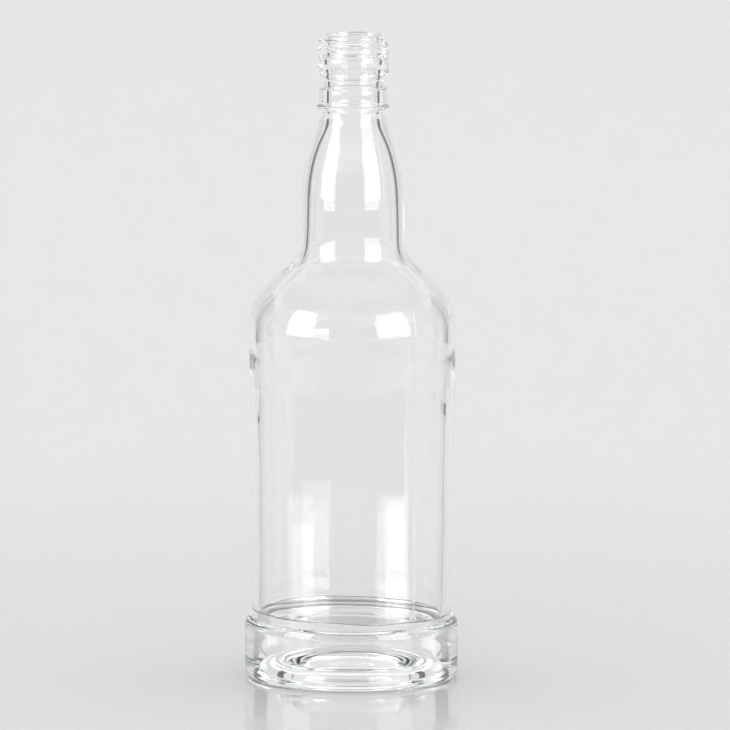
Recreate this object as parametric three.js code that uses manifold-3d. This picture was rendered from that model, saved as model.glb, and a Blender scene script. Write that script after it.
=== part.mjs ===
/*
 * A clear glass liquor bottle: a heavy stepped foot with a punt, a straight panel for a label,
 * round shoulders, a flared neck and a screw finish. It is blown in one piece of glass.
 *
 * Millimetres, +Z up. The origin is the centre of the ring that the bottle stands on.
 */
import * as THREE from 'three';
import { mergeVertices } from 'three/addons/utils/BufferGeometryUtils.js';
import Module from 'manifold-3d';

// Fineness of the facets
const sides = 40;
const longCurveSteps = 9;
const curveSteps = 5;
const roundSteps = 2;
const edgeSteps = 1;

// Foot: the ring that it stands on, the punt inside it and the upright wall round it
const footRadius = 46.0;
const footHeight = 21.0;
const heelRadius = 3.4;
const standingRingWidth = 4.2;
const recessDepth = 1.0;
const puntRadius = 25.0;
const puntHeight = 19.5;
const puntFlare = 1.8;

// Ledge: the rounded step from the foot up to the panel
const ledgeRise = 7.8;
const ledgeRound = 4.8;
const ledgeHollow = 2.4;

// Panel: the straight wall that a label would cover, a little wider at its top
const panelFootRadius = 43.2;
const panelTopRadius = 44.35;
const panelHeight = 110.5;

// Waist and bulge above the panel's top edge
const waistRise = 2.3;
const waistRadius = 44.1;
const bulgeRise = 8.7;
const bulgeRadius = 44.7;

// Shoulder: how far it runs on upwards from the bulge and downwards from the neck before it turns
const shoulderRise = 39.0;
const shoulderFullness = 25.7;
const shoulderHollow = 16.9;

// Neck: a straight stretch, then a flare that narrows to the throat
const neckFootRadius = 22.2;
const neckTopRadius = 21.9;
const neckRise = 17.4;
const flareRise = 39.2;
const flareFullness = 20.3;
const throatRadius = 13.4;
const throatSlope = 1.2;
const throatLength = 9.9;

// Finish below the thread: ring, collar, groove and band
const ringRadius = 15.45;
const ringHeight = 2.4;
const ringRound = 0.8;
const collarRadius = 14.4;
const collarHeight = 6.9;
const grooveRadius = 13.0;
const grooveHeight = 3.6;
const bandRadius = 15.2;
const bandUnderside = 3.3;
const bandHeight = 7.0;
const edgeRound = 0.5;

// Thread: right-handed, one start, measured at the middle of its crest
const threadCoreRadius = 13.75;
const threadCoreHeight = 7.5;
const threadCrestRadius = 15.2;
const threadCrestWidth = 0.8;
const threadFootWidth = 2.2;
const threadPitch = 3.35;
const threadTurns = 2.3;
const threadTopDepth = 0.95;
const threadTopAngle = THREE.MathUtils.degToRad(20);
const threadRunOut = THREE.MathUtils.degToRad(60);
const threadSink = 0.6;
const threadEndSize = 0.15;
const threadStepsPerTurn = 20;

// Lip
const lipRadius = 13.1;
const lipHeight = 1.6;
const lipRound = 0.9;

// Bore of the finish, with the swelling behind the band
const boreRadius = 9.8;
const boreRound = 1.1;
const boreLength = 36.0;
const swelling = 1.05;
const swellingDepth = 11.0;
const swellingRise = 2.6;
const swellingFall = 7.8;

// Walls of the cavity, and how its curves leave the bore, the neck and the bulge
const neckTopWall = 3.2;
const neckFootWall = 3.0;
const bulgeWall = 2.6;
const panelTopWall = 4.8;
const panelFootWall = 4.1;
const innerThroatLength = 1.4;
const innerFlareFullness = 26.2;
const innerFlareSpread = 0.9;
const innerShoulderHollow = 16.1;
const innerShoulderFullness = 15.6;
const innerShoulderSpread = 1.9;
const innerBulgeRise = 4.3;
const innerBulgeFullness = 8.0;
const innerBulgeSpread = 0.9;
const innerPanelLength = 4.0;
const floorThickness = 28.4;
const floorCorner = 2.0;

// Levels, each worked out from the one below it
const panelFoot = footHeight + ledgeRise;
const panelTop = panelFoot + panelHeight;
const waistTop = panelTop + waistRise;
const bulgeLevel = waistTop + bulgeRise;
const neckFoot = bulgeLevel + shoulderRise;
const neckTop = neckFoot + neckRise;
const throatLevel = neckTop + flareRise;
const ringTop = throatLevel + ringHeight;
const collarTop = ringTop + collarHeight;
const grooveTop = collarTop + grooveHeight;
const bandFoot = grooveTop + bandUnderside;
const bandTop = bandFoot + bandHeight;
const coreTop = bandTop + threadCoreHeight;
const lipTop = coreTop + lipHeight;

// An outline of points (radius, height), made of straight lines, cubic curves and quarter ellipses
class Outline {
  constructor(radius, height) {
    this.points = [new THREE.Vector2(radius, height)];
  }

  get end() {
    return this.points[this.points.length - 1];
  }

  line(radius, height) {
    this.points.push(new THREE.Vector2(radius, height));
    return this;
  }

  // leave and arrive are the handles of the curve, measured from its two ends
  curve(leave, arrive, radius, height, steps) {
    const start = this.end;
    const last = new THREE.Vector2(radius, height);
    const leaveHandle = start.clone().add(new THREE.Vector2(...leave));
    const arriveHandle = last.clone().add(new THREE.Vector2(...arrive));
    const path = new THREE.CubicBezierCurve(start, leaveHandle, arriveHandle, last);
    this.points.push(...path.getPoints(steps).slice(1));
    return this;
  }

  // A quarter of an ellipse that leaves the last point upright, or level, and turns to the other
  round(startsUpright, radius, height, steps) {
    const start = this.end;
    const across = radius - start.x;
    const up = height - start.y;
    for (let i = 1; i <= steps; i++) {
      const angle = (i / steps) * (Math.PI / 2);
      const early = Math.sin(angle);
      const late = 1 - Math.cos(angle);
      const acrossShare = startsUpright ? late : early;
      const upShare = startsUpright ? early : late;
      this.line(start.x + across * acrossShare, start.y + up * upShare);
    }
    return this;
  }
}

// From the top of the punt down to the standing ring and up the foot to the panel
function addFoot(outline) {
  const ringOuter = footRadius - heelRadius;
  const ringInner = ringOuter - standingRingWidth;
  outline.round(false, puntRadius, recessDepth + puntFlare, curveSteps);
  outline.round(true, puntRadius + puntFlare, recessDepth, roundSteps);
  outline.line(ringInner - recessDepth, recessDepth);
  outline.line(ringInner, 0);
  outline.line(ringOuter, 0);
  outline.round(false, footRadius, heelRadius, roundSteps + 1);
  outline.line(footRadius, footHeight);
  outline.curve([0, ledgeRound], [0, -ledgeHollow], panelFootRadius, panelFoot, curveSteps);
}

function addPanelAndShoulder(outline) {
  outline.line(panelTopRadius, panelTop);
  outline.line(waistRadius, panelTop + waistRise / 2);
  outline.curve([0, waistRise], [0, -bulgeRise / 2], bulgeRadius, bulgeLevel, roundSteps);
  outline.curve([0, shoulderFullness], [0, -shoulderHollow], neckFootRadius, neckFoot, longCurveSteps);
  outline.line(neckTopRadius, neckTop);
  const throat = [throatSlope, -throatLength];
  outline.curve([0, flareFullness], throat, throatRadius, throatLevel, curveSteps);
}

function addFinish(outline) {
  outline.line(ringRadius - edgeRound, throatLevel);
  outline.round(false, ringRadius, throatLevel + ringRound, edgeSteps);
  outline.line(ringRadius, ringTop - ringRound);
  outline.round(true, collarRadius, ringTop, edgeSteps);
  outline.line(collarRadius, collarTop - edgeRound);
  outline.round(true, collarRadius - edgeRound, collarTop, edgeSteps);
  outline.line(grooveRadius, collarTop);
  outline.line(grooveRadius, grooveTop);
  outline.round(false, bandRadius, bandFoot, roundSteps);
  outline.line(bandRadius, bandTop - edgeRound);
  outline.round(true, bandRadius - edgeRound, bandTop, edgeSteps);
  outline.line(threadCoreRadius, bandTop);
  outline.line(threadCoreRadius, coreTop);
  outline.line(lipRadius, coreTop);
  outline.line(lipRadius, lipTop - lipRound);
  outline.round(true, lipRadius - lipRound, lipTop, roundSteps);
}

function addBore(outline) {
  const swellingLevel = lipTop - swellingDepth;
  const swollenRadius = boreRadius + swelling;
  outline.line(boreRadius + boreRound, lipTop);
  outline.round(false, boreRadius, lipTop - boreRound, roundSteps);
  outline.line(boreRadius, swellingLevel + swellingRise);
  outline.curve([0, -swellingRise / 2], [0, swellingRise / 2], swollenRadius, swellingLevel, roundSteps);
  outline.curve([0, -swellingFall / 2], [0, swellingFall / 2], boreRadius, swellingLevel - swellingFall,
    roundSteps);
  outline.line(boreRadius, lipTop - boreLength);
}

// The cavity below the bore: every radius is the outside's less the wall there
function addCavity(outline) {
  const neckTopInner = neckTopRadius - neckTopWall;
  const neckFootInner = neckFootRadius - neckFootWall;
  const bulgeInner = bulgeRadius - bulgeWall;
  const panelTopInner = panelTopRadius - panelTopWall;
  const panelFootInner = panelFootRadius - panelFootWall;
  const flare = [-innerFlareSpread, innerFlareFullness];
  const shoulder = [-innerShoulderSpread, innerShoulderFullness];
  const bulge = [innerBulgeSpread, -innerBulgeFullness];
  const bulgeInnerLevel = bulgeLevel + innerBulgeRise;
  outline.curve([0, -innerThroatLength], flare, neckTopInner, neckTop, curveSteps);
  outline.line(neckFootInner, neckFoot);
  outline.curve([0, -innerShoulderHollow], shoulder, bulgeInner, bulgeInnerLevel, longCurveSteps);
  outline.curve(bulge, [0, innerPanelLength], panelTopInner, panelTop, curveSteps);
  outline.line(panelFootInner, floorThickness + floorCorner);
  outline.round(true, panelFootInner - floorCorner, floorThickness, roundSteps);
  outline.line(0, floorThickness);
}

// A closed solid of the geometry, whose points are merged and whose flat triangles are left out
function solidOf(wasm, geometry) {
  geometry.deleteAttribute('normal');
  geometry.deleteAttribute('uv');
  const merged = mergeVertices(geometry);
  const index = merged.index.array;
  const triangles = [];
  for (let i = 0; i < index.length; i += 3) {
    const [a, b, c] = [index[i], index[i + 1], index[i + 2]];
    if (a !== b && b !== c && c !== a) {
      triangles.push(a, b, c);
    }
  }
  const mesh = new wasm.Mesh({
    numProp: 3,
    vertProperties: new Float32Array(merged.attributes.position.array),
    triVerts: new Uint32Array(triangles),
  });
  return new wasm.Manifold(mesh);
}

function glassBodyGeometry() {
  const outline = new Outline(0, puntHeight);
  addFoot(outline);
  addPanelAndShoulder(outline);
  addFinish(outline);
  addBore(outline);
  addCavity(outline);
  const geometry = new THREE.LatheGeometry(outline.points, sides);
  geometry.rotateX(Math.PI / 2);
  return geometry;
}

// The ridge's section, extruded straight and then wound down round the finish from its top end
function threadGeometry() {
  const inside = threadCoreRadius - threadSink;
  const section = new THREE.Shape();
  section.moveTo(inside, -threadFootWidth / 2);
  section.lineTo(threadCoreRadius, -threadFootWidth / 2);
  section.lineTo(threadCrestRadius, -threadCrestWidth / 2);
  section.lineTo(threadCrestRadius, threadCrestWidth / 2);
  section.lineTo(threadCoreRadius, threadFootWidth / 2);
  section.lineTo(inside, threadFootWidth / 2);
  section.closePath();

  const wound = threadTurns * 2 * Math.PI;
  const steps = Math.round(threadTurns * threadStepsPerTurn);
  const geometry = new THREE.ExtrudeGeometry(section, { depth: wound, steps, bevelEnabled: false });
  const position = geometry.attributes.position;
  const topLevel = lipTop - threadTopDepth;
  for (let i = 0; i < position.count; i++) {
    const turned = position.getZ(i);
    const fromEnd = Math.min(turned, wound - turned);
    const grown = THREE.MathUtils.smoothstep(fromEnd, 0, threadRunOut);
    const size = threadEndSize + (1 - threadEndSize) * grown;
    const angle = threadTopAngle - turned;
    const radius = inside + (position.getX(i) - inside) * size;
    const height = topLevel - (threadPitch * turned) / (2 * Math.PI) + position.getY(i) * size;
    position.setXYZ(i, radius * Math.cos(angle), radius * Math.sin(angle), height);
  }
  return geometry;
}

function geometryOf(solid) {
  const mesh = solid.getMesh();
  const geometry = new THREE.BufferGeometry();
  geometry.setAttribute('position', new THREE.BufferAttribute(mesh.vertProperties, mesh.numProp));
  geometry.setIndex(new THREE.BufferAttribute(mesh.triVerts, 1));
  geometry.computeVertexNormals();
  return geometry;
}

const wasm = await Module();
wasm.setup();

const clearGlass = new THREE.MeshStandardMaterial({
  color: 0xe4ece8,
  roughness: 0.03,
  metalness: 0,
  transparent: true,
  opacity: 0.35,
});

const glass = solidOf(wasm, glassBodyGeometry()).add(solidOf(wasm, threadGeometry()));
const bottle = new THREE.Mesh(geometryOf(glass), clearGlass);
bottle.name = 'glass_bottle';

const part = new THREE.Group();
part.add(bottle);

export default part;
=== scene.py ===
"""A clear glass liquor bottle with a stepped foot and a screw finish, on a pale studio floor."""

import math

import bmesh
import bpy
from mathutils import Matrix, Quaternion, Vector, noise


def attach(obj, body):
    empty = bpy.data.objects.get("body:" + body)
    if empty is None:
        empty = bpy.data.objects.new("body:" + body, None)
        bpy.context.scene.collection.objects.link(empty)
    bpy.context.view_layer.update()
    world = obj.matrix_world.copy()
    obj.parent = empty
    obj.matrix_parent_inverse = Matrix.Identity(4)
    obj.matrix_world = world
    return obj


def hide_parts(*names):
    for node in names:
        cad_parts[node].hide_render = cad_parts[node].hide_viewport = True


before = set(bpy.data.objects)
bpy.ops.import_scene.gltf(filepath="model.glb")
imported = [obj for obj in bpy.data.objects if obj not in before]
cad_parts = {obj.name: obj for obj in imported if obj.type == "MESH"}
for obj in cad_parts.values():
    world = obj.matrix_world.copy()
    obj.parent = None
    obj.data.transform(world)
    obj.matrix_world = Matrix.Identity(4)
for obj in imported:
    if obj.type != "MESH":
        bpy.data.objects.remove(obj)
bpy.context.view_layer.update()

bl_info = {
    "name": "Glass liquor bottle",
    "version": (1, 0, 0),
    "blender": (4, 5, 0),
    "location": "3D View > Sidebar > Bottle",
    "description": "Makes a clear glass liquor bottle and the studio round it",
    "category": "Add Mesh",
}

MM = 0.001
NODE = "glass_bottle"
BODY = "root"
GLASS_OBJECT = "bottle_glass"

# The photograph's frame, in its own pixels, and what one pixel measures at the bottle
PHOTO_SIZE = 730
PIXEL = 0.43 * MM
AXIS_X = 352.3
MIDDLE_Y = 365
BASE_Y = 676.4

# How finely the glass is turned: columns between the mould seams, and across each seam
COLUMNS_BETWEEN = 98
COLUMNS_ACROSS = 6
SEAM_SPAN = math.radians(1.6)
CORNER_STEPS = 5
FILLET_STEPS = 4

# Points nearer to each other than this are one point, on the glass and on the floor,
# and points nearer to the axis than this stay on it
MERGE_DISTANCE = 0.002 * MM
FLOOR_MERGE_DISTANCE = 0.01 * MM
NEAR_AXIS = 0.01 * MM

# What a vertex of the glass belongs to
OUTSIDE = 0
THREAD = 1
CAVITY = 2
UNDER = 3

# Foot and panel: the fillet where the ledge meets the panel, and the softened edge at the panel's top,
# with how far it leaves the panel and meets the waist
LEDGE_FILLET = 1 / 6
FILLET_STRETCH = 1.4
PANEL_EDGE = 1.6 * MM
PANEL_EDGE_LEAVE = 0.8 * PANEL_EDGE
PANEL_EDGE_ARRIVE = 0.4 * PANEL_EDGE

# Finish: the rounding of its edges, and how the band's underside leaves the groove and meets the band
EDGE = 0.45 * MM
RING_ROUND = 0.8 * MM
UNDERSIDE_LEAVE = 0.45
UNDERSIDE_ARRIVE = 0.55

# Bore: the swelling behind the band, and how far it reaches above and below its widest place
SWELLING_DEPTH = 11.0 * MM
SWELLING_RISE = 2.6 * MM
SWELLING_FALL = 7.8 * MM

# Cavity: how its curves leave the bore, the neck and the bulge, as (outwards, upwards)
INNER_THROAT = 5.0 * MM
INNER_FLARE = (-0.9 * MM, 24.0 * MM)
INNER_SHOULDER_HOLLOW = 16.1 * MM
INNER_SHOULDER = (-1.9 * MM, 15.6 * MM)
INNER_BULGE_RISE = 4.3 * MM
INNER_BULGE = (0.85 * MM, -7.0 * MM)
INNER_PANEL = 10.0 * MM
INNER_PANEL_DROP = 14.0 * MM

# Thread: where its top end lies, how its ends fade and how broad its crest is
THREAD_TOP_ANGLE = math.radians(20)
THREAD_RUN_OUT = math.radians(60)
CREST_FLATNESS = 0.7

# Mould seams: where they start on the heel, and the share of their span that stands out
SEAM_START = 0.4
SEAM_WIDTH = 0.8

# Waves of the blown wall, with finer ones laid over them, and where they grow from nothing
WAVE_LENGTH = 26 * MM
FINE_WAVE_HEIGHT = 0.4
FINE_WAVE_COUNT = 2.3
WAVE_FADE = 30 * MM

# The cavity's floor: its tilt and waves, the heights between which they die away above it,
# and the radii between which its waves grow
FLOOR_TILT = 0.021
FLOOR_WAVE = 0.55 * MM
FLOOR_WAVE_LENGTH = 17 * MM
FLOOR_FADE = (2 * MM, 22 * MM)
FLOOR_GROWTH = (12 * MM, 38 * MM)

# Studio, in metres: the floor with its round wall, and the painted shade round the bottle, a darker floor
# tone that stands in for the light falling off there, with the shares of its radius between which its tone
# fades into the floor's
FLOOR_RADIUS = 7.0
WALL_ROUND = 2.0
WALL_HEIGHT = 3.4
SHADE_RADIUS = 0.47
SHADE_FADE = (0.5, 1.4)

# Curtains, which glow at a set tone and only the glass sees, as painted reflections of dark and grey
# surroundings: as angles from straight back and as gaps from the bottle to the cloth on the floor
CURTAIN_REACH = 2.6
CLOTH_LEVEL = 0.002
SIDE_START = math.radians(41)
SIDE_END = math.radians(57)
SIDE_GAP = 0.86
SIDE_HEIGHT = 1.5
FRONT_START = math.radians(105)
FRONT_GAP = 0.54
FRONT_HEIGHT = 0.9
CEILING_HEIGHT = 1.9

# Soft boxes: name, angle from straight in front towards +X, and width
SOFT_BOXES = (
    ("soft_box_left", math.radians(-61), 0.88),
    ("soft_box_right", math.radians(48), 1.02),
)
BOX_DISTANCE = 1.5
BOX_HEIGHT = 0.73
BOX_TALL = 1.25
BOX_WATTS = 17

# Camera, and how often light may be bent or thrown back in the thick glass
SENSOR_WIDTH = 36
CAMERA_REACH = 60
LIGHT_BOUNCES = 64


def length(name, description, millimetres):
    """A size of the bottle as a property, with its default given in millimetres."""
    return bpy.props.FloatProperty(
        name=name, description=description, default=millimetres * MM, unit="LENGTH", precision=5)


class BottleFootSizes(bpy.types.PropertyGroup):
    foot_radius: length("Foot radius", "Radius of the upright wall of the foot", 46.0)
    foot_height: length("Foot height", "Height of the foot's upright wall above the ground", 21.0)
    heel_radius: length("Heel radius", "Rounding between the foot's wall and the standing ring", 3.4)
    ring_width: length("Standing ring width", "Width of the flat ring that the bottle stands on", 4.2)
    recess_depth: length("Recess depth", "How far the base inside the standing ring is raised", 1.0)
    punt_radius: length("Punt radius", "Radius of the hollow under the base", 26.0)
    punt_height: length("Punt height", "Height of the hollow under the base", 16.0)
    punt_flare: length("Punt flare", "Rounding round the mouth of the punt", 1.8)
    ledge_rise: length("Ledge rise", "Height of the rounded step above the foot", 7.8)
    ledge_round: length("Ledge round", "Height of the rounding at the ledge's outer edge", 4.8)
    ledge_hollow: length("Ledge hollow", "How far the panel runs on downwards into the ledge", 2.6)
    floor_thickness: length("Floor thickness", "Height of the cavity's floor above the ground", 28.4)
    floor_corner: length("Floor corner", "Rounding between the cavity's floor and its wall", 1.0)


class BottleBodySizes(bpy.types.PropertyGroup):
    panel_foot_radius: length("Panel foot radius", "Radius of the label panel at its foot", 43.2)
    panel_top_radius: length("Panel top radius", "Radius of the label panel at its top", 44.35)
    panel_height: length("Panel height", "Height of the label panel", 110.5)
    panel_foot_wall: length("Panel foot wall", "Thickness of the glass at the panel's foot", 4.1)
    panel_top_wall: length("Panel top wall", "Thickness of the glass at the panel's top", 4.6)
    waist_rise: length("Waist rise", "Height of the narrow place above the panel", 2.3)
    waist_radius: length("Waist radius", "Radius of the narrow place above the panel", 44.27)
    bulge_rise: length("Bulge rise", "Height from the waist to the widest place of the shoulder", 8.7)
    bulge_radius: length("Bulge radius", "Radius of the shoulder at its widest", 44.7)
    bulge_wall: length("Bulge wall", "Thickness of the glass at the widest place", 3.7)
    shoulder_rise: length("Shoulder rise", "Height from the widest place to the neck's foot", 39.0)
    shoulder_fullness: length("Shoulder fullness", "How far the shoulder runs on upwards", 25.7)
    shoulder_hollow: length("Shoulder hollow", "How far the neck runs on downwards", 16.9)


class BottleNeckSizes(bpy.types.PropertyGroup):
    foot_radius: length("Neck foot radius", "Radius of the neck at its foot", 22.2)
    top_radius: length("Neck top radius", "Radius of the neck below its flare", 21.9)
    foot_wall: length("Neck foot wall", "Thickness of the glass at the neck's foot", 3.0)
    top_wall: length("Neck top wall", "Thickness of the glass below the flare", 3.2)
    rise: length("Neck rise", "Height of the straight stretch of the neck", 17.4)
    flare_rise: length("Flare rise", "Height of the stretch that narrows to the throat", 39.2)
    flare_fullness: length("Flare fullness", "How far the neck runs on upwards before it narrows", 20.3)
    throat_radius: length("Throat radius", "Radius of the neck under the ring", 13.4)
    throat_length: length("Throat length", "How far the throat runs on downwards", 9.9)
    throat_slope: length("Throat slope", "How far the throat spreads over that length", 1.2)


class BottleFinishSizes(bpy.types.PropertyGroup):
    ring_radius: length("Ring radius", "Radius of the lowest ring", 15.45)
    ring_height: length("Ring height", "Height of the lowest ring", 2.4)
    collar_radius: length("Collar radius", "Radius of the collar above the ring", 14.4)
    collar_height: length("Collar height", "Height of the collar", 6.9)
    groove_radius: length("Groove radius", "Radius of the groove that a cap tucks into", 13.0)
    groove_height: length("Groove height", "Height of the groove", 3.6)
    band_radius: length("Band radius", "Radius of the band above the groove", 15.2)
    band_underside: length("Band underside", "Height of the band's rounded underside", 3.3)
    band_height: length("Band height", "Height of the band", 7.0)
    core_radius: length("Core radius", "Radius between the turns of the thread", 13.75)
    core_height: length("Core height", "Height of the threaded stretch", 7.5)
    crest_radius: length("Crest radius", "Radius of the thread's crest", 15.2)
    thread_width: length("Thread width", "Width of the thread's ridge at its foot", 2.5)
    thread_pitch: length("Thread pitch", "Rise of the thread in one turn", 3.35)
    thread_depth: length("Thread top depth", "How far below the lip the thread starts", 0.95)
    thread_turns: bpy.props.FloatProperty(
        name="Thread turns", description="Number of turns of the thread", default=2.3)
    lip_radius: length("Lip radius", "Outer radius of the lip", 13.1)
    lip_height: length("Lip height", "Height of the lip above the threaded stretch", 1.6)
    lip_round: length("Lip rounding", "Rounding of the lip's outer edge", 0.9)
    bore_radius: length("Bore radius", "Radius of the bore", 9.8)
    bore_round: length("Bore rounding", "Rounding of the mouth of the bore", 1.1)
    bore_length: length("Bore length", "Length of the straight bore", 36.0)
    swelling: length("Swelling", "How far the bore swells behind the band", 1.05)


class BottleGlassLook(bpy.types.PropertyGroup):
    tint: bpy.props.FloatVectorProperty(
        name="Tint", description="Colour of the light that thick glass lets through", subtype="COLOR",
        size=3, min=0, max=1, default=(0.86, 0.955, 0.90))
    depth: bpy.props.FloatProperty(
        name="Tint strength", description="How strongly a metre of the glass is tinted", default=3.0)
    waviness: length("Waviness", "How far the cavity's wall strays from a true round", 0.16)
    seam_height: length("Seam height", "How far a mould seam stands out of the glass", 0.07)
    seam_angle: bpy.props.FloatProperty(
        name="Seam angle", description="Where the first mould seam lies, from +X towards +Y",
        subtype="ANGLE", default=math.radians(-52.3))


class BottleStudio(bpy.types.PropertyGroup):
    distance: bpy.props.FloatProperty(
        name="Camera distance", description="From the camera to the bottle's middle",
        unit="LENGTH", default=4.4)
    elevation: bpy.props.FloatProperty(
        name="Camera elevation", description="Angle of the camera above the level",
        subtype="ANGLE", default=math.radians(8.0))
    roll: bpy.props.FloatProperty(
        name="Camera roll", description="How far the camera leans", subtype="ANGLE",
        default=math.radians(0.18))
    # Painted shade: the floor round the bottle gets a darker colour that stands in for the light falling
    # off there
    shaded_near_colour: bpy.props.FloatVectorProperty(
        name="Shaded floor colour", description="Colour of the floor round the bottle", subtype="COLOR",
        size=3, min=0, max=1, default=(0.745, 0.73, 0.735))
    far_colour: bpy.props.FloatVectorProperty(
        name="Paper colour", description="Colour of the floor farther off", subtype="COLOR",
        size=3, min=0, max=1, default=(0.80, 0.80, 0.80))
    # Glow of the pieces that only the glass sees, painted reflections: dark curtains at the sides, grey in
    # front and above
    side_tone: bpy.props.FloatProperty(
        name="Side tone", description="Tone of the curtains at the two sides", default=0.14)
    front_tone: bpy.props.FloatProperty(
        name="Front tone", description="Tone of the curtain in front", default=0.55)
    ceiling_tone: bpy.props.FloatProperty(
        name="Ceiling tone", description="Tone of the ceiling over the bottle", default=0.8)
    surround: bpy.props.FloatProperty(
        name="Surround", description="Brightness of the light from all round", default=1.13)


class Outline:
    """A chain of points (radius, height) with the zone that each belongs to."""

    def __init__(self, radius, height, zone):
        self.zone = zone
        self.points = [(radius, height, zone)]

    def line(self, radius, height, steps=1):
        """A straight stretch, cut into equal steps."""
        r0, h0, _ = self.points[-1]
        for i in range(1, steps + 1):
            share = i / steps
            self.points.append((r0 + (radius - r0) * share, h0 + (height - h0) * share, self.zone))

    def curve(self, leave, arrive, radius, height, steps):
        """A cubic curve: leave and arrive are its handles, measured from its two ends."""
        r0, h0, _ = self.points[-1]
        handles = ((r0, h0), (r0 + leave[0], h0 + leave[1]),
                   (radius + arrive[0], height + arrive[1]), (radius, height))
        for i in range(1, steps + 1):
            t = i / steps
            weights = ((1 - t) ** 3, 3 * t * (1 - t) ** 2, 3 * t * t * (1 - t), t ** 3)
            r = sum(w * p[0] for w, p in zip(weights, handles))
            h = sum(w * p[1] for w, p in zip(weights, handles))
            self.points.append((r, h, self.zone))

    def round(self, starts_upright, radius, height, steps):
        """A quarter of an ellipse that starts upright, or level, and turns to the other."""
        r0, h0, _ = self.points[-1]
        for i in range(1, steps + 1):
            angle = i / steps * math.pi / 2
            early = math.sin(angle)
            late = 1 - math.cos(angle)
            across, up = (late, early) if starts_upright else (early, late)
            self.points.append((r0 + (radius - r0) * across, h0 + (height - h0) * up, self.zone))


class Levels:
    """Heights of the bottle's stations, each worked out from the one below it."""

    def __init__(self, foot, body, neck, finish):
        self.panel_foot = foot.foot_height + foot.ledge_rise
        self.panel_top = self.panel_foot + body.panel_height
        self.waist_top = self.panel_top + body.waist_rise
        self.bulge = self.waist_top + body.bulge_rise
        self.neck_foot = self.bulge + body.shoulder_rise
        self.neck_top = self.neck_foot + neck.rise
        self.throat = self.neck_top + neck.flare_rise
        self.ring_top = self.throat + finish.ring_height
        self.collar_top = self.ring_top + finish.collar_height
        self.groove_top = self.collar_top + finish.groove_height
        self.band_foot = self.groove_top + finish.band_underside
        self.band_top = self.band_foot + finish.band_height
        self.core_top = self.band_top + finish.core_height
        self.lip_top = self.core_top + finish.lip_height


def add_foot(outline, foot, body, levels):
    """From the top of the punt down to the standing ring, and up the foot and the ledge."""
    ring_outer = foot.foot_radius - foot.heel_radius
    ring_inner = ring_outer - foot.ring_width
    recess = foot.recess_depth
    outline.round(False, foot.punt_radius, recess + foot.punt_flare, steps=20)
    outline.round(True, foot.punt_radius + foot.punt_flare, recess, steps=8)
    outline.line(ring_inner - recess, recess, steps=4)
    outline.curve((recess / 2, 0), (-recess / 2, 0), ring_inner, 0, steps=6)
    outline.line(ring_outer, 0, steps=3)
    outline.zone = OUTSIDE
    outline.round(False, foot.foot_radius, foot.heel_radius, steps=10)
    corner = levels.panel_foot - foot.ledge_hollow
    fillet = foot.ledge_hollow * LEDGE_FILLET
    outline.line(foot.foot_radius, corner - foot.ledge_round, steps=3)
    outline.round(True, body.panel_foot_radius + fillet, corner, steps=14)
    outline.round(False, body.panel_foot_radius, corner + fillet * FILLET_STRETCH, steps=5)
    outline.line(body.panel_foot_radius, levels.panel_foot)


def add_body(outline, body, neck, levels):
    """The panel, the waist over its softened edge, the bulge, the shoulder and the neck."""
    waist_middle = levels.panel_top + body.waist_rise / 2
    outline.line(body.panel_top_radius, levels.panel_top - PANEL_EDGE, steps=6)
    outline.curve((0, PANEL_EDGE_LEAVE), (0, -PANEL_EDGE_ARRIVE), body.waist_radius, waist_middle, steps=9)
    outline.curve((0, body.waist_rise), (0, -body.bulge_rise / 2), body.bulge_radius, levels.bulge, steps=8)
    outline.curve((0, body.shoulder_fullness), (0, -body.shoulder_hollow), neck.foot_radius,
                  levels.neck_foot, steps=26)
    outline.line(neck.top_radius, levels.neck_top, steps=6)
    throat = (neck.throat_slope, -neck.throat_length)
    outline.curve((0, neck.flare_fullness), throat, neck.throat_radius, levels.throat - EDGE, steps=20)


def add_finish(outline, neck, finish, levels):
    """The ring, collar, groove and band, the core that the thread rises from, and the lip."""
    outline.round(True, neck.throat_radius + EDGE, levels.throat, FILLET_STEPS)
    outline.line(finish.ring_radius - RING_ROUND, levels.throat)
    outline.round(False, finish.ring_radius, levels.throat + RING_ROUND, CORNER_STEPS)
    outline.line(finish.ring_radius, levels.ring_top - RING_ROUND)
    outline.round(True, finish.collar_radius + EDGE, levels.ring_top - EDGE / 2, CORNER_STEPS)
    outline.round(False, finish.collar_radius, levels.ring_top + EDGE, FILLET_STEPS)
    outline.line(finish.collar_radius, levels.collar_top - EDGE, steps=4)
    outline.round(True, finish.collar_radius - EDGE, levels.collar_top, CORNER_STEPS)
    outline.line(finish.groove_radius + EDGE, levels.collar_top)
    outline.round(False, finish.groove_radius, levels.collar_top + EDGE, FILLET_STEPS)
    outline.line(finish.groove_radius, levels.groove_top - EDGE, steps=2)
    underside = finish.band_underside
    outline.curve((0, underside * UNDERSIDE_LEAVE), (0, -underside * UNDERSIDE_ARRIVE),
                  finish.band_radius, levels.band_foot, steps=10)
    outline.line(finish.band_radius, levels.band_top - EDGE, steps=4)
    outline.round(True, finish.band_radius - EDGE, levels.band_top, CORNER_STEPS)
    outline.line(finish.core_radius + EDGE, levels.band_top)
    outline.zone = THREAD
    outline.round(False, finish.core_radius, levels.band_top + EDGE, FILLET_STEPS)
    outline.line(finish.core_radius, levels.core_top - EDGE, steps=36)
    outline.round(True, finish.core_radius - EDGE, levels.core_top, FILLET_STEPS)
    outline.zone = OUTSIDE
    outline.line(finish.lip_radius, levels.core_top + EDGE / 2, steps=2)
    outline.line(finish.lip_radius, levels.lip_top - finish.lip_round)
    outline.round(True, finish.lip_radius - finish.lip_round, levels.lip_top, steps=6)


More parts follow.
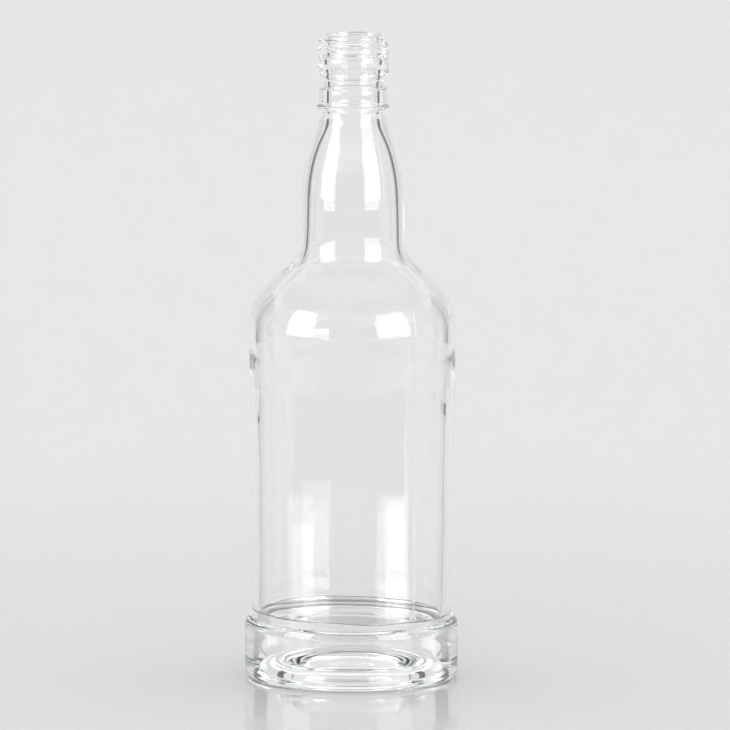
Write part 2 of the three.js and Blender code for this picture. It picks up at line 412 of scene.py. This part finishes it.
def add_bore(outline, finish, levels):
    """Over the lip and down the bore, which swells behind the band."""
    swollen = finish.bore_radius + finish.swelling
    level = levels.lip_top - SWELLING_DEPTH
    outline.line(finish.bore_radius + finish.bore_round, levels.lip_top)
    outline.round(False, finish.bore_radius, levels.lip_top - finish.bore_round, steps=6)
    outline.zone = CAVITY
    outline.line(finish.bore_radius, level + SWELLING_RISE, steps=4)
    outline.curve((0, -SWELLING_RISE / 2), (0, SWELLING_RISE / 2), swollen, level, steps=6)
    outline.curve((0, -SWELLING_FALL / 2), (0, SWELLING_FALL / 2), finish.bore_radius,
                  level - SWELLING_FALL, steps=8)
    outline.line(finish.bore_radius, levels.lip_top - finish.bore_length, steps=8)


def add_cavity(outline, foot, body, neck, levels):
    """Down the inner wall, whose radii are the outside's less the wall there, and across the floor."""
    neck_top = neck.top_radius - neck.top_wall
    neck_foot = neck.foot_radius - neck.foot_wall
    bulge = body.bulge_radius - body.bulge_wall
    bulge_level = levels.bulge + INNER_BULGE_RISE
    panel_top = body.panel_top_radius - body.panel_top_wall
    panel_foot = body.panel_foot_radius - body.panel_foot_wall
    floor = foot.floor_thickness
    corner = foot.floor_corner
    outline.curve((0, -INNER_THROAT), INNER_FLARE, neck_top, levels.neck_top, steps=16)
    outline.line(neck_foot, levels.neck_foot, steps=5)
    outline.curve((0, -INNER_SHOULDER_HOLLOW), INNER_SHOULDER, bulge, bulge_level, steps=20)
    outline.curve(INNER_BULGE, (0, INNER_PANEL), panel_top, levels.panel_top - INNER_PANEL_DROP, steps=16)
    outline.line(panel_foot, floor + corner, steps=18)
    outline.round(True, panel_foot - corner, floor, steps=8)
    outline.line(0, floor, steps=8)


def chain_of(bm, points):
    """Vertices at the points, and the edges that join each to the next."""
    verts = [bm.verts.new(point) for point in points]
    edges = [bm.edges.new(pair) for pair in zip(verts, verts[1:])]
    return verts, edges


def spun(bm, geometry, angle, steps, closed=False):
    """Spins the geometry about the bottle's axis, and gives back its last copy."""
    made = bmesh.ops.spin(bm, geom=geometry, cent=(0, 0, 0), axis=(0, 0, 1), dvec=(0, 0, 0),
                          angle=angle, steps=steps, use_merge=closed, use_duplicate=False)
    return made["geom_last"]


def turn(bm, outline, zones, seam_angle):
    """Spins the outline once round, with finer columns across the two mould seams."""
    verts, edges = chain_of(bm, [(radius, 0, height) for radius, height, _ in outline.points])
    for vert, (_, _, zone) in zip(verts, outline.points):
        vert[zones] = zone
    start = Matrix.Rotation(seam_angle - SEAM_SPAN / 2, 3, "Z")
    bmesh.ops.rotate(bm, verts=verts, cent=(0, 0, 0), matrix=start)
    geometry = verts + edges
    spans = ((SEAM_SPAN, COLUMNS_ACROSS), (math.pi - SEAM_SPAN, COLUMNS_BETWEEN)) * 2
    for angle, steps in spans:
        geometry = spun(bm, geometry, angle, steps)
    bmesh.ops.remove_doubles(bm, verts=bm.verts[:], dist=MERGE_DISTANCE)


def raised(distance, half_width):
    """Height of a smooth ridge, from 1 at its middle to 0 at half_width from it."""
    if abs(distance) >= half_width:
        return 0.0
    return math.cos(distance / half_width * math.pi / 2) ** 2


def smooth_step(value, low, high):
    """Grows softly from 0 at low to 1 at high."""
    share = min(1.0, max(0.0, (value - low) / (high - low)))
    return share * share * (3 - 2 * share)


def raise_thread(bm, zones, finish, levels):
    """Lifts the thread's ridge out of the core, as a right-handed helix that fades at its ends."""
    wound = finish.thread_turns * math.tau
    top = levels.lip_top - finish.thread_depth
    rise = finish.crest_radius - finish.core_radius
    half = finish.thread_width / 2
    for vert in bm.verts:
        if vert[zones] != THREAD:
            continue
        radius = math.hypot(vert.co.x, vert.co.y)
        angle = math.atan2(vert.co.y, vert.co.x)
        first = (THREAD_TOP_ANGLE - angle) % math.tau
        height = 0.0
        for turn_number in range(math.ceil(finish.thread_turns) + 1):
            turned = first + turn_number * math.tau
            if turned > wound:
                break
            size = smooth_step(min(turned, wound - turned), 0, THREAD_RUN_OUT)
            crest = top - finish.thread_pitch * turned / math.tau
            height = max(height, size * raised(vert.co.z - crest, half) ** CREST_FLATNESS)
        wanted = radius + (finish.core_radius + rise - radius) * height
        scale = max(radius, wanted) / radius
        vert.co.x *= scale
        vert.co.y *= scale


def raise_seams(bm, zones, look, levels, foot):
    """Lifts the two fine lines that the mould's halves leave on the outside."""
    low = foot.heel_radius * SEAM_START
    for vert in bm.verts:
        if vert[zones] != OUTSIDE or not low < vert.co.z < levels.throat:
            continue
        radius = math.hypot(vert.co.x, vert.co.y)
        angle = math.atan2(vert.co.y, vert.co.x) - look.seam_angle
        off = abs(math.remainder(angle, math.pi))
        height = look.seam_height * raised(off, SEAM_SPAN / 2 * SEAM_WIDTH)
        if height:
            height *= smooth_step(vert.co.z, low, foot.heel_radius)
            widest = max(radius, foot.foot_radius)
            scale = min(radius + height, widest) / radius
            vert.co.x *= scale
            vert.co.y *= scale


def unsettle_cavity(bm, zones, look, levels, foot):
    """Gives the blown wall of the cavity its slight waves, and its floor a slight tilt."""
    floor = foot.floor_thickness
    for vert in bm.verts:
        if vert[zones] != CAVITY:
            continue
        radius = math.hypot(vert.co.x, vert.co.y)
        if radius > NEAR_AXIS:
            away = smooth_step(levels.throat - vert.co.z, 0, WAVE_FADE) * smooth_step(radius, 0, WAVE_FADE)
            place = vert.co / WAVE_LENGTH
            wave = noise.noise(place) + FINE_WAVE_HEIGHT * noise.noise(place * FINE_WAVE_COUNT)
            scale = 1 + look.waviness * away * wave / radius
            vert.co.x *= scale
            vert.co.y *= scale
        near_floor = 1 - smooth_step(vert.co.z, floor + FLOOR_FADE[0], floor + FLOOR_FADE[1])
        across = Vector((vert.co.x, vert.co.y, 0)) / FLOOR_WAVE_LENGTH
        lift = FLOOR_WAVE * smooth_step(radius, *FLOOR_GROWTH) * noise.noise(across)
        vert.co.z += near_floor * (lift - FLOOR_TILT * vert.co.x)


def glass_material(look):
    """Polished clear flint glass: smooth, with the faint orange peel that a mould leaves."""
    material = bpy.data.materials.new("clear_flint_glass")
    material.use_nodes = True
    nodes = material.node_tree.nodes
    links = material.node_tree.links
    nodes.clear()
    output = nodes.new("ShaderNodeOutputMaterial")
    glass = nodes.new("ShaderNodeBsdfPrincipled")
    glass.inputs["Transmission Weight"].default_value = 1.0
    glass.inputs["IOR"].default_value = 1.52
    glass.inputs["Base Color"].default_value = (1.0, 1.0, 1.0, 1.0)
    depth = nodes.new("ShaderNodeVolumeAbsorption")
    depth.inputs["Color"].default_value = (*look.tint, 1.0)
    depth.inputs["Density"].default_value = look.depth

    place = nodes.new("ShaderNodeTexCoord")
    peel = nodes.new("ShaderNodeTexNoise")
    peel.inputs["Scale"].default_value = 90.0
    peel.inputs["Detail"].default_value = 2.0
    bump = nodes.new("ShaderNodeBump")
    bump.inputs["Strength"].default_value = 0.04
    bump.inputs["Distance"].default_value = 0.4 * MM
    haze = nodes.new("ShaderNodeTexNoise")
    haze.inputs["Scale"].default_value = 35.0
    haze.inputs["Detail"].default_value = 4.0
    spread = nodes.new("ShaderNodeMapRange")
    spread.inputs["From Min"].default_value = 0.45
    spread.inputs["From Max"].default_value = 0.8
    spread.inputs["To Min"].default_value = 0.0
    spread.inputs["To Max"].default_value = 0.03
    links.new(place.outputs["Object"], peel.inputs["Vector"])
    links.new(place.outputs["Object"], haze.inputs["Vector"])
    links.new(peel.outputs["Fac"], bump.inputs["Height"])
    links.new(bump.outputs["Normal"], glass.inputs["Normal"])
    links.new(haze.outputs["Fac"], spread.inputs["Value"])
    links.new(spread.outputs["Result"], glass.inputs["Roughness"])
    links.new(glass.outputs["BSDF"], output.inputs["Surface"])
    links.new(depth.outputs["Volume"], output.inputs["Volume"])
    return material


def object_of(bm, name, material):
    """Makes the bmesh a smooth object of the scene, with its faces outwards."""
    mesh = bpy.data.meshes.new(name)
    bmesh.ops.recalc_face_normals(bm, faces=bm.faces[:])
    for face in bm.faces:
        face.smooth = True
    bm.to_mesh(mesh)
    bm.free()
    mesh.materials.append(material)
    made = bpy.data.objects.new(name, mesh)
    bpy.context.scene.collection.objects.link(made)
    return made


class BOTTLE_OT_glass(bpy.types.Operator):
    """Turn the bottle's glass, with its thread, seams and waves, and put it in the CAD bottle's place"""
    bl_idname = "bottle.glass"
    bl_label = "Make the glass"

    def execute(self, context):
        scene = context.scene
        foot = scene.bottle_foot
        body = scene.bottle_body
        neck = scene.bottle_neck
        finish = scene.bottle_finish
        look = scene.bottle_look
        levels = Levels(foot, body, neck, finish)
        outline = Outline(0, foot.punt_height, UNDER)
        add_foot(outline, foot, body, levels)
        add_body(outline, body, neck, levels)
        add_finish(outline, neck, finish, levels)
        add_bore(outline, finish, levels)
        add_cavity(outline, foot, body, neck, levels)
        bm = bmesh.new()
        zones = bm.verts.layers.int.new("zone")
        turn(bm, outline, zones, look.seam_angle)
        raise_thread(bm, zones, finish, levels)
        raise_seams(bm, zones, look, levels, foot)
        unsettle_cavity(bm, zones, look, levels, foot)
        bottle = object_of(bm, GLASS_OBJECT, glass_material(look))
        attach(bottle, BODY)
        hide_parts(NODE)
        return {"FINISHED"}


def floor_material(near, far):
    """A pale floor with a soft gloss and painted shade: its tone is darker round the bottle and lightens
    away from it.
    """
    material = bpy.data.materials.new("pale_floor")
    material.use_nodes = True
    nodes = material.node_tree.nodes
    links = material.node_tree.links
    shader = nodes["Principled BSDF"]
    place = nodes.new("ShaderNodeTexCoord")
    from_middle = nodes.new("ShaderNodeVectorMath")
    from_middle.operation = "LENGTH"
    fade = nodes.new("ShaderNodeMapRange")
    fade.inputs["From Min"].default_value = SHADE_RADIUS * SHADE_FADE[0]
    fade.inputs["From Max"].default_value = SHADE_RADIUS * SHADE_FADE[1]
    # Painted shade: the floor's colour darkens towards the bottle
    tone = nodes.new("ShaderNodeMix")
    tone.data_type = "RGBA"
    tone.inputs["A"].default_value = (*near, 1.0)
    tone.inputs["B"].default_value = (*far, 1.0)
    links.new(place.outputs["Object"], from_middle.inputs[0])
    links.new(from_middle.outputs["Value"], fade.inputs["Value"])
    links.new(fade.outputs["Result"], tone.inputs["Factor"])
    links.new(tone.outputs["Result"], shader.inputs["Base Color"])
    shader.inputs["Roughness"].default_value = 0.1
    shader.inputs["IOR"].default_value = 1.45
    shader.inputs["Specular IOR Level"].default_value = 0.3
    return material


def make_floor(near, far):
    """A round floor that curves up into a wall all round, so that it shows no edge from any side."""
    outline = Outline(0, 0, OUTSIDE)
    outline.line(FLOOR_RADIUS - WALL_ROUND, 0)
    outline.round(False, FLOOR_RADIUS, WALL_ROUND, steps=12)
    outline.line(FLOOR_RADIUS, WALL_HEIGHT)
    bm = bmesh.new()
    verts, edges = chain_of(bm, [(radius, 0, height) for radius, height, _ in outline.points])
    spun(bm, verts + edges, math.tau, steps=96, closed=True)
    bmesh.ops.remove_doubles(bm, verts=bm.verts[:], dist=FLOOR_MERGE_DISTANCE)
    floor = object_of(bm, "studio_floor", floor_material(near, far))
    floor.data.flip_normals()


def glow_material(name, tone):
    """An even grey that glows and needs no light of its own: painted light for the glass to reflect."""
    material = bpy.data.materials.new(name)
    material.use_nodes = True
    nodes = material.node_tree.nodes
    nodes.clear()
    output = nodes.new("ShaderNodeOutputMaterial")
    glow = nodes.new("ShaderNodeEmission")
    glow.inputs["Color"].default_value = (tone, tone, tone * 1.03, 1.0)
    material.node_tree.links.new(glow.outputs["Emission"], output.inputs["Surface"])
    return material


def curtain(name, start, end, gap, height, tone):
    """Part of a round cloth on the floor with a curtain at its rim, which only the glass sees: both glow at
    a set tone, a painted reflection of the surroundings' light and shade.
    """
    bm = bmesh.new()
    points = ((0, gap, CLOTH_LEVEL), (0, CURTAIN_REACH, CLOTH_LEVEL), (0, CURTAIN_REACH, height))
    verts, edges = chain_of(bm, points)
    bmesh.ops.rotate(bm, verts=verts, cent=(0, 0, 0), matrix=Matrix.Rotation(start, 3, "Z"))
    spun(bm, verts + edges, end - start, steps=24)
    hide_from_camera(object_of(bm, name, glow_material(name, tone)))


def hide_from_camera(made):
    """Keeps a stage piece out of the picture and off the floor's light: only the glass sees it."""
    made.visible_camera = False
    made.visible_diffuse = False
    made.visible_shadow = False


def ceiling(tone):
    """A dimmer round ceiling, which only the glass sees: it glows at a set tone, a painted reflection."""
    bm = bmesh.new()
    bmesh.ops.create_circle(bm, cap_ends=True, segments=48, radius=CURTAIN_REACH,
                            matrix=Matrix.Translation((0, 0, CEILING_HEIGHT)))
    hide_from_camera(object_of(bm, "ceiling", glow_material("ceiling", tone)))


def soft_box(name, size, place, target, power):
    """A rectangular soft light that faces the target."""
    light = bpy.data.lights.new(name, "AREA")
    light.shape = "RECTANGLE"
    light.size, light.size_y = size
    light.energy = power
    made = bpy.data.objects.new(name, light)
    bpy.context.scene.collection.objects.link(made)
    made.location = place
    aim = Vector(target) - Vector(place)
    made.rotation_euler = aim.to_track_quat("-Z", "Y").to_euler()
    made.visible_camera = False
    made.visible_diffuse = False


def place_camera(studio):
    """Puts the camera where the photograph was taken from, framed as the photograph is."""
    height = (BASE_Y - MIDDLE_Y) / math.cos(studio.elevation) * PIXEL
    middle = Vector((0, 0, height))
    back = Vector((0, -math.cos(studio.elevation), math.sin(studio.elevation)))
    data = bpy.data.cameras.new("camera")
    camera = bpy.data.objects.new("camera", data)
    bpy.context.scene.collection.objects.link(camera)
    camera.location = middle + back * studio.distance
    camera.rotation_mode = "QUATERNION"
    camera.rotation_quaternion = (-back).to_track_quat("-Z", "Y") @ Quaternion((0, 0, 1), studio.roll)
    data.sensor_width = SENSOR_WIDTH
    data.lens = data.sensor_width * studio.distance / (PHOTO_SIZE * PIXEL)
    data.shift_x = (PHOTO_SIZE / 2 - AXIS_X) / PHOTO_SIZE
    data.clip_end = CAMERA_REACH
    bpy.context.scene.camera = camera


class BOTTLE_OT_stage(bpy.types.Operator):
    """Make the pale floor, the soft lights and the camera"""
    bl_idname = "bottle.stage"
    bl_label = "Make the studio"

    def execute(self, context):
        studio = context.scene.bottle_studio
        make_floor(studio.shaded_near_colour, studio.far_colour)
        curtain("curtain_left", SIDE_START, SIDE_END, SIDE_GAP, SIDE_HEIGHT, studio.side_tone)
        front_end = math.tau - FRONT_START
        curtain("curtain_front", FRONT_START, front_end, FRONT_GAP, FRONT_HEIGHT, studio.front_tone)
        curtain("curtain_right", -SIDE_END, -SIDE_START, SIDE_GAP, SIDE_HEIGHT, studio.side_tone)
        ceiling(studio.ceiling_tone)
        for name, angle, width in SOFT_BOXES:
            place = (BOX_DISTANCE * math.sin(angle), -BOX_DISTANCE * math.cos(angle), BOX_HEIGHT)
            soft_box(name, (width, BOX_TALL), place, (0, 0, BOX_HEIGHT), BOX_WATTS)
        world = bpy.data.worlds.new("surround")
        world.use_nodes = True
        sky = world.node_tree.nodes["Background"]
        sky.inputs["Color"].default_value = (1.0, 1.0, 1.0, 1.0)
        sky.inputs["Strength"].default_value = studio.surround
        context.scene.world = world
        place_camera(studio)
        context.scene.view_settings.view_transform = "Standard"
        context.scene.cycles.max_bounces = LIGHT_BOUNCES
        context.scene.cycles.transmission_bounces = LIGHT_BOUNCES
        context.scene.cycles.glossy_bounces = LIGHT_BOUNCES
        return {"FINISHED"}


class BOTTLE_PT_panel(bpy.types.Panel):
    """The bottle's sizes and looks, with a button for each thing to make"""
    bl_idname = "BOTTLE_PT_panel"
    bl_label = "Glass bottle"
    bl_space_type = "VIEW_3D"
    bl_region_type = "UI"
    bl_category = "Bottle"

    def draw(self, context):
        for title, name in GROUPS:
            box = self.layout.box()
            box.label(text=title)
            group = getattr(context.scene, name)
            for key in group.bl_rna.properties.keys():
                if key not in ("rna_type", "name"):
                    box.prop(group, key)
        self.layout.operator(BOTTLE_OT_glass.bl_idname)
        self.layout.operator(BOTTLE_OT_stage.bl_idname)


GROUPS = (
    ("Foot", "bottle_foot"),
    ("Body", "bottle_body"),
    ("Neck", "bottle_neck"),
    ("Finish", "bottle_finish"),
    ("Glass", "bottle_look"),
    ("Studio", "bottle_studio"),
)

PROPERTY_GROUPS = (BottleFootSizes, BottleBodySizes, BottleNeckSizes, BottleFinishSizes,
                   BottleGlassLook, BottleStudio)
CLASSES = PROPERTY_GROUPS + (BOTTLE_OT_glass, BOTTLE_OT_stage, BOTTLE_PT_panel)


def register():
    for cls in CLASSES:
        bpy.utils.register_class(cls)
    for (_, name), group in zip(GROUPS, PROPERTY_GROUPS):
        setattr(bpy.types.Scene, name, bpy.props.PointerProperty(type=group))


def unregister():
    for _, name in GROUPS:
        delattr(bpy.types.Scene, name)
    for cls in reversed(CLASSES):
        bpy.utils.unregister_class(cls)


def main():
    register()
    bpy.ops.bottle.glass()
    bpy.ops.bottle.stage()


if __name__ == "__main__":
    main()
